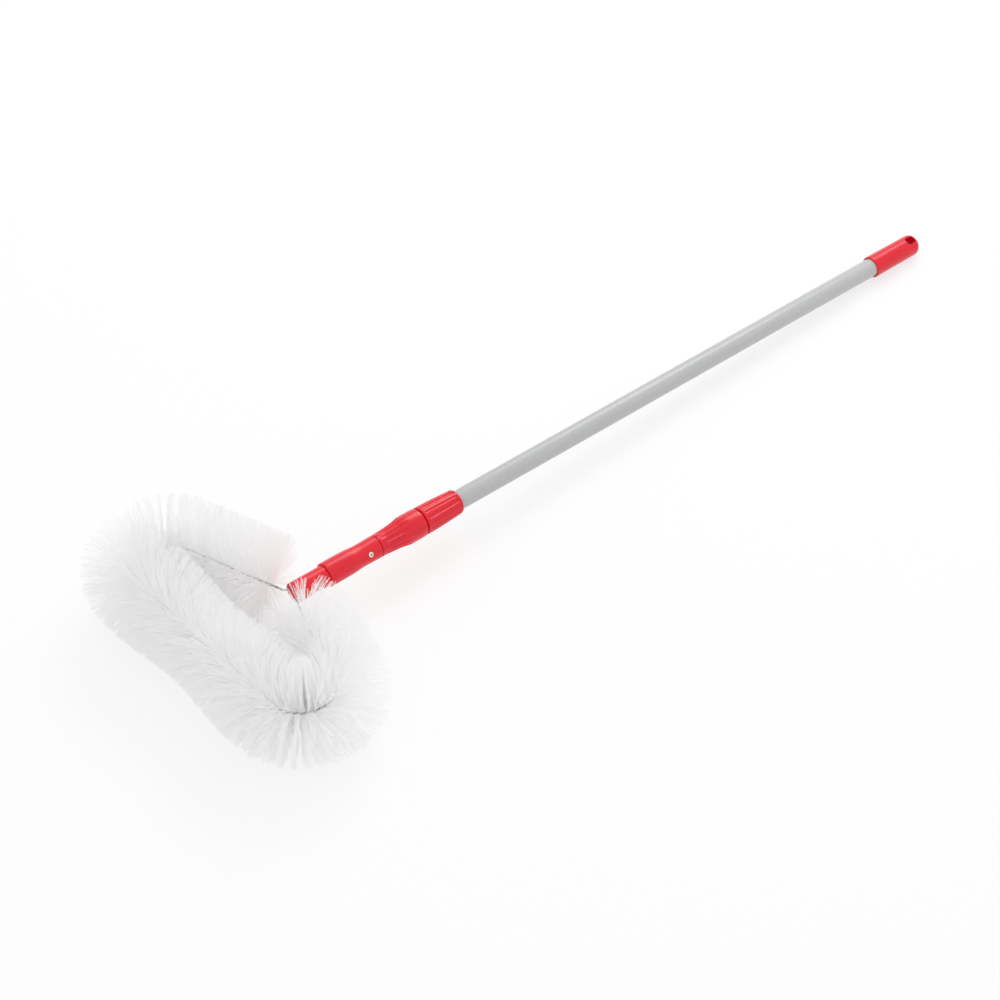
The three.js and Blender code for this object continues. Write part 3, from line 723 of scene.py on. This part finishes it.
def socket_rivet():
    seat = socket_radius_at(SOCKET_END - RIVET_SETBACK) + GAP / 2
    tail_top = INNER_RADIUS - TUBE_WALL - GAP
    tail = tail_top - RIVET_TAIL_LENGTH
    rim = RIVET_RIM_HEIGHT
    dome = arc(seat + rim, 0, RIVET_HEAD_HEIGHT - rim, RIVET_HEAD_RADIUS, 1, 0.25)
    eye_top = dome[-1][0]
    piece = at_rivet(turned("rivet_pressed", [
        (tail, RIVET_EYE_RADIUS),
        (tail, RIVET_SHANK_RADIUS),
        (tail + RIVET_TAIL_LENGTH / 2, RIVET_TAIL_RADIUS),
        (tail_top, RIVET_SHANK_RADIUS),
        (seat, RIVET_SHANK_RADIUS),
        (seat, RIVET_HEAD_RADIUS),
        *dome,
        (eye_top - rim / 2, RIVET_EYE_RADIUS + rim / 3),
        (eye_top - rim, RIVET_EYE_RADIUS),
    ], RIVET, segments=48, hollow=True))
    finish_piece(piece, "inner_pole", "rivet_metal", "socket_rivet")
    mandrel_radius = RIVET_EYE_RADIUS - GAP / 10
    mandrel = at_rivet(turned("rivet_mandrel", [
        (tail - EDGE, mandrel_radius),
        *arc(eye_top - MANDREL_DEPTH - GAP, mandrel_radius - GAP, GAP, GAP, 1, 0, steps=3),
    ], STEEL, segments=32))
    to_row(mandrel)
    shade(mandrel)
    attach(mandrel, "inner_pole")


def brush_socket():
    length = SOCKET_END - SOCKET_START
    skin = smooth_outline(contour(SOCKET_SHARES, SOCKET_END, -length, SOCKET_RADIUS))
    front_size = skin[-1][0] - SOCKET_START
    rear_size = SOCKET_END - skin[0][0]
    piece = turned("brush_socket_moulded", [
        (SOCKET_END, INNER_SEAT + GAP),
        *arc(skin[0][0], skin[0][1] - EDGE, rear_size, EDGE, 0, 1)[:-1],
        *dense(skin, SOCKET_SKIN_STEP),
        *arc(skin[-1][0], skin[-1][1] - EDGE, front_size, EDGE, 1, 2)[1:],
        (SOCKET_START, STUB_RADIUS + GAP + EDGE / 4),
    ], RED, segments=128)
    stub_radius = STUB_RADIUS + GAP
    for name, profile in (
        ("tube_bore", [(SOCKET_END + OVERRUN, INNER_SEAT), (HOLDER_END + GAP + SOCKET_WEB, INNER_SEAT)]),
        ("stub_bore", [(HOLDER_END + GAP, stub_radius), (SOCKET_START - OVERRUN, stub_radius)]),
    ):
        cut(piece, turned(name, profile, RED))
    cut(piece, rivet_hole())
    return finish_piece(piece, "inner_pole", "red_plastic", "brush_socket")


def wire_holder():
    neck_rear = SOCKET_START - GAP
    neck = np.linspace(neck_rear - EDGE, HOLDER_START + NECK_ROUNDING_END, NECK_RINGS)
    piece = turned("wire_holder_moulded", [
        (HOLDER_END, STUB_RADIUS - EDGE),
        (HOLDER_END - EDGE, STUB_RADIUS),
        (neck_rear, STUB_RADIUS),
        *arc(neck_rear - GAP, NECK_RADIUS - GAP, GAP, GAP, 0, 1, steps=4),
        *[(x, NECK_RADIUS) for x in neck],
        *arc(HOLDER_START + EDGE, NECK_RADIUS - EDGE, EDGE, EDGE, 1, 2),
    ], RED)
    for side in (1, -1):
        hole = turned("wire_hole", [
            (HOLDER_START - OVERRUN, WIRE_ENVELOPE + GAP),
            (HOLDER_START + WIRE_HOLE_DEPTH, WIRE_ENVELOPE + GAP),
        ], RED, segments=24)
        hole.data.transform(Matrix.Translation((0, side * WIRE_HOLE_OFFSET, 0)))
        cut(piece, hole)
    return finish_piece(piece, "inner_pole", "red_plastic", "wire_holder")


# Wire loop

def loop_course(step=0.5):
    """The core's middle line in the loop's plane, from the left wire end to the right one.

    Gives the runs along it, a step apart, their places and headings, and the run of the first bristle."""
    bend = np.array([HOLDER_START - WIRE_START, WIRE_HOLE_OFFSET + WIRE_BEND_RADIUS])
    end = np.array([LOOP_START + WIRE_ENVELOPE + LOOP_END_RADIUS, LOOP_HALF_WIDTH - LOOP_END_RADIUS])
    across = end - bend
    swing = math.asin((WIRE_BEND_RADIUS + LOOP_END_RADIUS) / np.hypot(*across))
    heading = math.atan2(across[1], across[0]) - swing
    quarter = TURN / 4

    def round_points(centre, radius, start, stop):
        count = max(2, math.ceil(abs(stop - start) * radius / step))
        angles = np.linspace(start, stop, count + 1)
        return [(centre[0] + radius * math.cos(a), centre[1] + radius * math.sin(a)) for a in angles]

    half = [(WIRE_END, WIRE_HOLE_OFFSET)]
    half += round_points(bend, WIRE_BEND_RADIUS, -quarter, heading - 3 * quarter)
    half += round_points(end, LOOP_END_RADIUS, heading - quarter, 2 * quarter)
    half.append((end[0] - LOOP_END_RADIUS, 0))
    half = np.array(half)
    line = np.vstack([half, half[-2::-1] * (1, -1)])
    run = np.concatenate([[0], np.cumsum(np.linalg.norm(np.diff(line, axis=0), axis=1))])
    marks = np.linspace(0, run[-1], round(run[-1] / step) + 1)
    places_on_line = np.stack([np.interp(marks, run, line[:, i]) for i in (0, 1)], axis=1)
    headings = unit(np.gradient(places_on_line, axis=0))
    first = BARE_WIRE + (WIRE_END - bend[0]) + WIRE_BEND_RADIUS * abs(heading - 2 * quarter)
    return marks, places_on_line, headings, first


MARKS, COURSE, HEADINGS, FIRST_BRISTLE = loop_course()
COURSE_LENGTH = MARKS[-1]


def on_course(run):
    """Middle, sideways and lengthways directions of the core at some runs along it."""
    flat = np.zeros_like(run)
    middle = np.stack([np.interp(run, MARKS, COURSE[:, i]) for i in (0, 1)] + [flat], axis=-1)
    along = unit(np.stack([np.interp(run, MARKS, HEADINGS[:, i]) for i in (0, 1)] + [flat], axis=-1))
    sideways = np.stack([along[..., 1], -along[..., 0], flat], axis=-1)
    return middle, sideways, along


def wire_core():
    """Two wires twisted round each other."""
    sides, steps_per_pitch = 10, 22
    wire_radius = WIRE_ENVELOPE / 2
    run = np.linspace(0, COURSE_LENGTH, round(COURSE_LENGTH / WIRE_PITCH * steps_per_pitch) + 1)
    middle, sideways, _ = on_course(run)
    points, faces = [], []
    for strand in (0, 1):
        angle = TURN * run / WIRE_PITCH + strand * TURN / 2
        line = middle + wire_radius * (np.cos(angle)[:, None] * sideways + np.sin(angle)[:, None] * Z_AXIS)
        tangent = unit(np.gradient(line, axis=0))
        first = unit(Z_AXIS - tangent * (tangent @ Z_AXIS)[:, None])
        rings = line[:, None] + wire_radius * spokes(first, np.cross(tangent, first), sides)
        faces += ring_quads(len(run), sides, len(points)) + end_caps(len(run), sides, len(points))
        points += rings.reshape(-1, 3).tolist()
    piece = new_piece("twisted_wires", points, faces, STEEL)
    outward(piece)
    return finish_piece(piece, "inner_pole", "steel_wire", "wire_core")


# Bristles

TUFTS_PER_MM = 27
TUFT_STRANDS = 3
TUFT_SPREAD = math.radians(0.45)
SHEET_SPREAD = math.radians(10)
LEAN_SPREAD = math.radians(1.1)
TRIM_SPREAD = 0.008
FLOOR_CLEARANCE = 0.3
# Where a strand points up or down by this share or more, its rings are set out from another axis
STEEP = 0.9
# A strand has rings at shares of its length, and a point at its tip
STRAND_SIDES = 3
RING_SHARES = (0.0, 0.35, 0.7, 0.97)
ROOT_RADIUS = 0.05
TIP_RADIUS = 0.115
# How far a strand's tip is bent along the core and round it, in millimetres: at random, and in
# waves over the brush. A wave has its length along the core, its turns round it and its size.
ALONG_SPREAD = 0.2
AROUND_SPREAD = 0.5
ALONG_WAVES = [(21, 3, 0.25), (47, 1, 0.6), (120, -1, 1.0)]
AROUND_WAVES = [(33, 2, 0.5), (90, 1, 1.3)]
WAVE_SEED = 7
SIDE_SEEDS = {"left": 100, "right": 200}
# Each half of the brush has a near piece, which takes this share of it, and then the far parts
ARM_SHARE = 0.33
FAR_PARTS = ("turn", "end", "front")
# Share of the full number of strands, at distances from the first bristle of each arm
THINNING = {"left": [(0, 0.8), (10, 1.0)], "right": [(0, 0.3), (12, 0.5), (25, 0.9), (35, 1.0)]}
# Share of the full reach, at distances from the middle of the loop's front
TRIMMING = [(0, 0.9), (25, 0.92), (60, 1.0), (90, 1.03)]
# Share of the full reach, at distances from the right arm's first bristle
NECK_TRIMMING = [(0, 0.84), (15, 0.91), (35, 1.0)]


def wander(rng, waves, run, angle):
    """A smooth field over the brush, the sum of its waves."""
    field = np.zeros_like(run)
    for wavelength, turns, size in waves:
        field += size * np.sin(TURN * run / wavelength + turns * angle + rng.uniform(0, TURN))
    return field


def tuft_runs(rng, start, stop):
    """Places of the tufts along the core, fewer of them near the neck."""
    run = np.sort(rng.uniform(start, stop, round((stop - start) * TUFTS_PER_MM)))
    share = np.interp(run - FIRST_BRISTLE, *np.array(THINNING["left"]).T)
    share *= np.interp(COURSE_LENGTH - FIRST_BRISTLE - run, *np.array(THINNING["right"]).T)
    return run[rng.uniform(size=len(run)) < share]


def strand_lines(rng, start, stop):
    """Middle lines of the strands between two runs along the core, as strand, ring and place.

    The wires grip the strands in two sheets that wind along the core like a screw's threads.
    In a sheet, a few strands at a time keep together as a tuft."""
    run = tuft_runs(rng, start, stop)
    count = len(run)
    angle = TURN * run / WIRE_PITCH + TURN / 4 + rng.integers(0, 2, count) * TURN / 2
    angle += rng.normal(0, SHEET_SPREAD, count)
    lean = rng.normal(0, LEAN_SPREAD, count)
    fields = np.random.default_rng(WAVE_SEED)
    along_bend = wander(fields, ALONG_WAVES, run, angle) + rng.normal(0, ALONG_SPREAD, count)
    around_bend = wander(fields, AROUND_WAVES, run, angle) + rng.normal(0, AROUND_SPREAD, count)
    run, angle, lean, along_bend, around_bend = (
        np.repeat(values, TUFT_STRANDS) for values in (run, angle, lean, along_bend, around_bend))
    count = len(run)
    angle += rng.normal(0, TUFT_SPREAD, count)
    lean += rng.normal(0, TUFT_SPREAD, count)
    middle, sideways, along = on_course(run)
    out = np.cos(angle)[:, None] * sideways + np.sin(angle)[:, None] * Z_AXIS
    around = -np.sin(angle)[:, None] * sideways + np.cos(angle)[:, None] * Z_AXIS
    length = REACH * np.interp(np.abs(run - COURSE_LENGTH / 2), *np.array(TRIMMING).T)
    length *= 1 - np.abs(rng.normal(0, TRIM_SPREAD, count))
    length *= np.interp(COURSE_LENGTH - FIRST_BRISTLE - run, *np.array(NECK_TRIMMING).T)
    share = np.array([*RING_SHARES, 1.0])[None, :, None]
    straight = out * np.cos(lean)[:, None] + along * np.sin(lean)[:, None]
    bend = along * along_bend[:, None] + around * around_bend[:, None]
    reach = share * length[:, None, None]
    offset = straight[:, None] * reach + bend[:, None] * share ** 2
    offset *= reach / np.maximum(np.linalg.norm(offset, axis=2, keepdims=True), ROOT_RADIUS)
    return middle[:, None] + offset


def clear_neck(lines):
    """Moves what would lie in the neck or the socket out to its skin."""
    away = np.linalg.norm(lines[..., 1:], axis=-1)
    skin = np.where(lines[..., 0] > SOCKET_START, SOCKET_RADIUS, NECK_RADIUS) + GAP
    inside = (lines[..., 0] > HOLDER_START - GAP) & (away < skin)
    lines[..., 1:] *= np.where(inside, skin / np.maximum(away, GAP), 1)[..., None]
    return lines


def strand_mesh(name, lines):
    """Closed three-sided strands, flat-shaded so that light passes on from strand to strand."""
    matrix = np.array(POLE_TO_ROW @ Matrix.Scale(MM, 4))
    lines = lines @ matrix[:3, :3].T + matrix[:3, 3]
    lines[..., 2] = np.maximum(lines[..., 2], FLOOR_CLEARANCE * MM)
    count, rings = len(lines), len(RING_SHARES)
    tangent = unit(np.gradient(lines, axis=1))
    steep = np.abs(tangent[..., 2:]) >= STEEP
    helper = np.where(steep, X_AXIS, Z_AXIS)
    first = unit(np.cross(tangent, helper))
    second = np.cross(tangent, first)
    radii = MM * np.linspace(ROOT_RADIUS, TIP_RADIUS, rings)
    ways = spokes(first[:, :-1], second[:, :-1], STRAND_SIDES)
    skin = lines[:, :-1, None] + radii[None, :, None, None] * ways
    per_strand = rings * STRAND_SIDES + 1
    points = np.concatenate([skin.reshape(count, -1, 3), lines[:, -1:]], axis=1)
    last = (rings - 1) * STRAND_SIDES
    tip = [(last + k, last + (k + 1) % STRAND_SIDES, per_strand - 1) for k in range(STRAND_SIDES)]
    root = end_caps(rings, STRAND_SIDES)[:1]
    starts = np.arange(count)[:, None, None] * per_strand
    quad_loops = (np.array(ring_quads(rings, STRAND_SIDES))[None] + starts).reshape(-1)
    triangle_loops = (np.array(tip + root)[None] + starts).reshape(-1)
    quad_count, triangle_count = len(quad_loops) // 4, len(triangle_loops) // 3
    mesh = bpy.data.meshes.new(name)
    mesh.vertices.add(count * per_strand)
    mesh.vertices.foreach_set("co", points.astype(np.float32).reshape(-1))
    mesh.loops.add(len(quad_loops) + len(triangle_loops))
    mesh.loops.foreach_set("vertex_index", np.concatenate([quad_loops, triangle_loops]).astype(np.int32))
    mesh.polygons.add(quad_count + triangle_count)
    loop_starts = np.concatenate([np.arange(quad_count) * 4, len(quad_loops) + np.arange(triangle_count) * 3])
    mesh.polygons.foreach_set("loop_start", loop_starts.astype(np.int32))
    mesh.update(calc_edges=True)
    mesh.validate()
    mesh.shade_flat()
    mesh.materials.append(FIBRE)
    return in_scene(name, mesh)


def bristles():
    """Four pieces on each side, from the neck to the middle of the loop's front."""
    half = COURSE_LENGTH / 2 - FIRST_BRISTLE
    arm = half * ARM_SHARE
    far = (half - arm) / len(FAR_PARTS)
    for side, seed in SIDE_SEEDS.items():
        spans = [("tufts_near", 0, arm, "bristles_near")]
        spans += [(f"tufts_{part}", arm + far * i, arm + far * (i + 1), "bristles_far")
                  for i, part in enumerate(FAR_PARTS)]
        for number, (name, start, stop, node) in enumerate(spans):
            start, stop = FIRST_BRISTLE + start, FIRST_BRISTLE + stop
            if side == "right":
                start, stop = COURSE_LENGTH - stop, COURSE_LENGTH - start
            lines = strand_lines(np.random.default_rng(seed + number), start, stop)
            piece = strand_mesh(f"{name}_{side}", clear_neck(lines))
            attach(piece, "inner_pole")
            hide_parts(f"{node}_{side}")


# Studio

FLOOR_HALF_SIZE = 6.0
FLOOR_COLOR = (0.92, 0.92, 0.92)
FLOOR_GLOW_SHARE = 0.72
FLOOR_GLOW = 1.0
AMBIENT = 0.85
# Light passes between very many white strands before it leaves the brush
LIGHT_BOUNCES = 24
# Each lamp has its name, place, target and size in metres, and its power in watts
LAMPS = [
    ("key", (2.3, 1.5, 2.9), (0.1, 0, 0), (2.4, 1.8), 38.0),
    ("pole_light", (1.2, 0.6, 1.4), (0.25, 0, 0), (0.9, 0.7), 3.0),
    ("cap_strip", (-0.8, -0.1, 1.4), (0.5, 0, 0), (0.2, 0.2), 0.8),
    ("rear_strip", (1.9, 0.4, 0.35), (0, 0, 0.03), (0.2, 0.2), 1.2),
]
# The photograph's camera, solved from the pole's edges and the brush
CAMERA_PLACE = (-1.65794, -1.77611, 2.31215)
CAMERA_ANGLES = (45.6751, 0.0398, -41.24)
CAMERA_LENS = 108.0
SENSOR_WIDTH = 36.0
VIEW_DEPTH = 50.0


def backdrop_factor(tree):
    """One for rays that show the backdrop: from the camera, off gloss and through clear things."""
    path = tree.nodes.new("ShaderNodeLightPath")
    total = path.outputs["Is Camera Ray"]
    for name in ("Is Glossy Ray", "Is Transmission Ray"):
        add = tree.nodes.new("ShaderNodeMath")
        add.operation = "MAXIMUM"
        tree.links.new(total, add.inputs[0])
        tree.links.new(path.outputs[name], add.inputs[1])
        total = add.outputs[0]
    return total


def studio_floor():
    mesh = bpy.data.meshes.new("floor")
    size = FLOOR_HALF_SIZE
    corners = [(-size, -size, 0), (size, -size, 0), (size, size, 0), (-size, size, 0)]
    mesh.from_pydata(corners, [], [(0, 1, 2, 3)])
    floor = in_scene("floor", mesh)
    material = bpy.data.materials.new("floor_white")
    material.use_nodes = True
    tree = material.node_tree
    tree.nodes.clear()
    output = tree.nodes.new("ShaderNodeOutputMaterial")
    matt = tree.nodes.new("ShaderNodeBsdfDiffuse")
    matt.inputs["Color"].default_value = (*FLOOR_COLOR, 1)
    glow = tree.nodes.new("ShaderNodeEmission")
    glow.inputs["Color"].default_value = (1, 1, 1, 1)
    glow.inputs["Strength"].default_value = FLOOR_GLOW
    share = tree.nodes.new("ShaderNodeMath")
    share.operation = "MULTIPLY"
    share.inputs[1].default_value = FLOOR_GLOW_SHARE
    mix = tree.nodes.new("ShaderNodeMixShader")
    tree.links.new(backdrop_factor(tree), share.inputs[0])
    tree.links.new(share.outputs[0], mix.inputs["Fac"])
    tree.links.new(matt.outputs[0], mix.inputs[1])
    tree.links.new(glow.outputs[0], mix.inputs[2])
    tree.links.new(mix.outputs[0], output.inputs["Surface"])
    mesh.materials.append(material)


def studio_world():
    """An even white surround, which shows as full white where it is seen itself."""
    world = bpy.data.worlds.new("studio")
    bpy.context.scene.world = world
    world.use_nodes = True
    tree = world.node_tree
    background = tree.nodes["Background"]
    background.inputs["Color"].default_value = (1, 1, 1, 1)
    spread = tree.nodes.new("ShaderNodeMapRange")
    spread.inputs["To Min"].default_value = AMBIENT
    spread.inputs["To Max"].default_value = 1.0
    tree.links.new(backdrop_factor(tree), spread.inputs["Value"])
    tree.links.new(spread.outputs["Result"], background.inputs["Strength"])


def area_light(name, place, target, size, power):
    """A soft rectangular lamp that faces its target."""
    lamp = bpy.data.lights.new(name, "AREA")
    lamp.shape = "RECTANGLE"
    lamp.size, lamp.size_y = size
    lamp.energy = power
    light = in_scene(name, lamp)
    light.location = place
    light.rotation_euler = (Vector(target) - Vector(place)).to_track_quat("-Z", "Y").to_euler()


def camera():
    """The photograph's camera looks 41 degrees round from +Y towards +X, and 44 degrees down."""
    lens = bpy.data.cameras.new("camera")
    lens.lens = CAMERA_LENS
    lens.sensor_width = SENSOR_WIDTH
    lens.clip_end = VIEW_DEPTH
    view = in_scene("camera", lens)
    view.rotation_euler = [math.radians(angle) for angle in CAMERA_ANGLES]
    view.location = CAMERA_PLACE
    bpy.context.scene.camera = view


camera()
outer_tube()
inner_tube()
hang_cap()
lock_body()
lock_nut()
lock_collet()
guide_bush()
brush_socket()
socket_rivet()
wire_holder()
wire_core()
bristles()
studio_floor()
studio_world()
for lamp_values in LAMPS:
    area_light(*lamp_values)
bpy.context.scene.view_settings.view_transform = "Standard"
bpy.context.scene.cycles.diffuse_bounces = LIGHT_BOUNCES
bpy.context.scene.cycles.max_bounces = LIGHT_BOUNCES
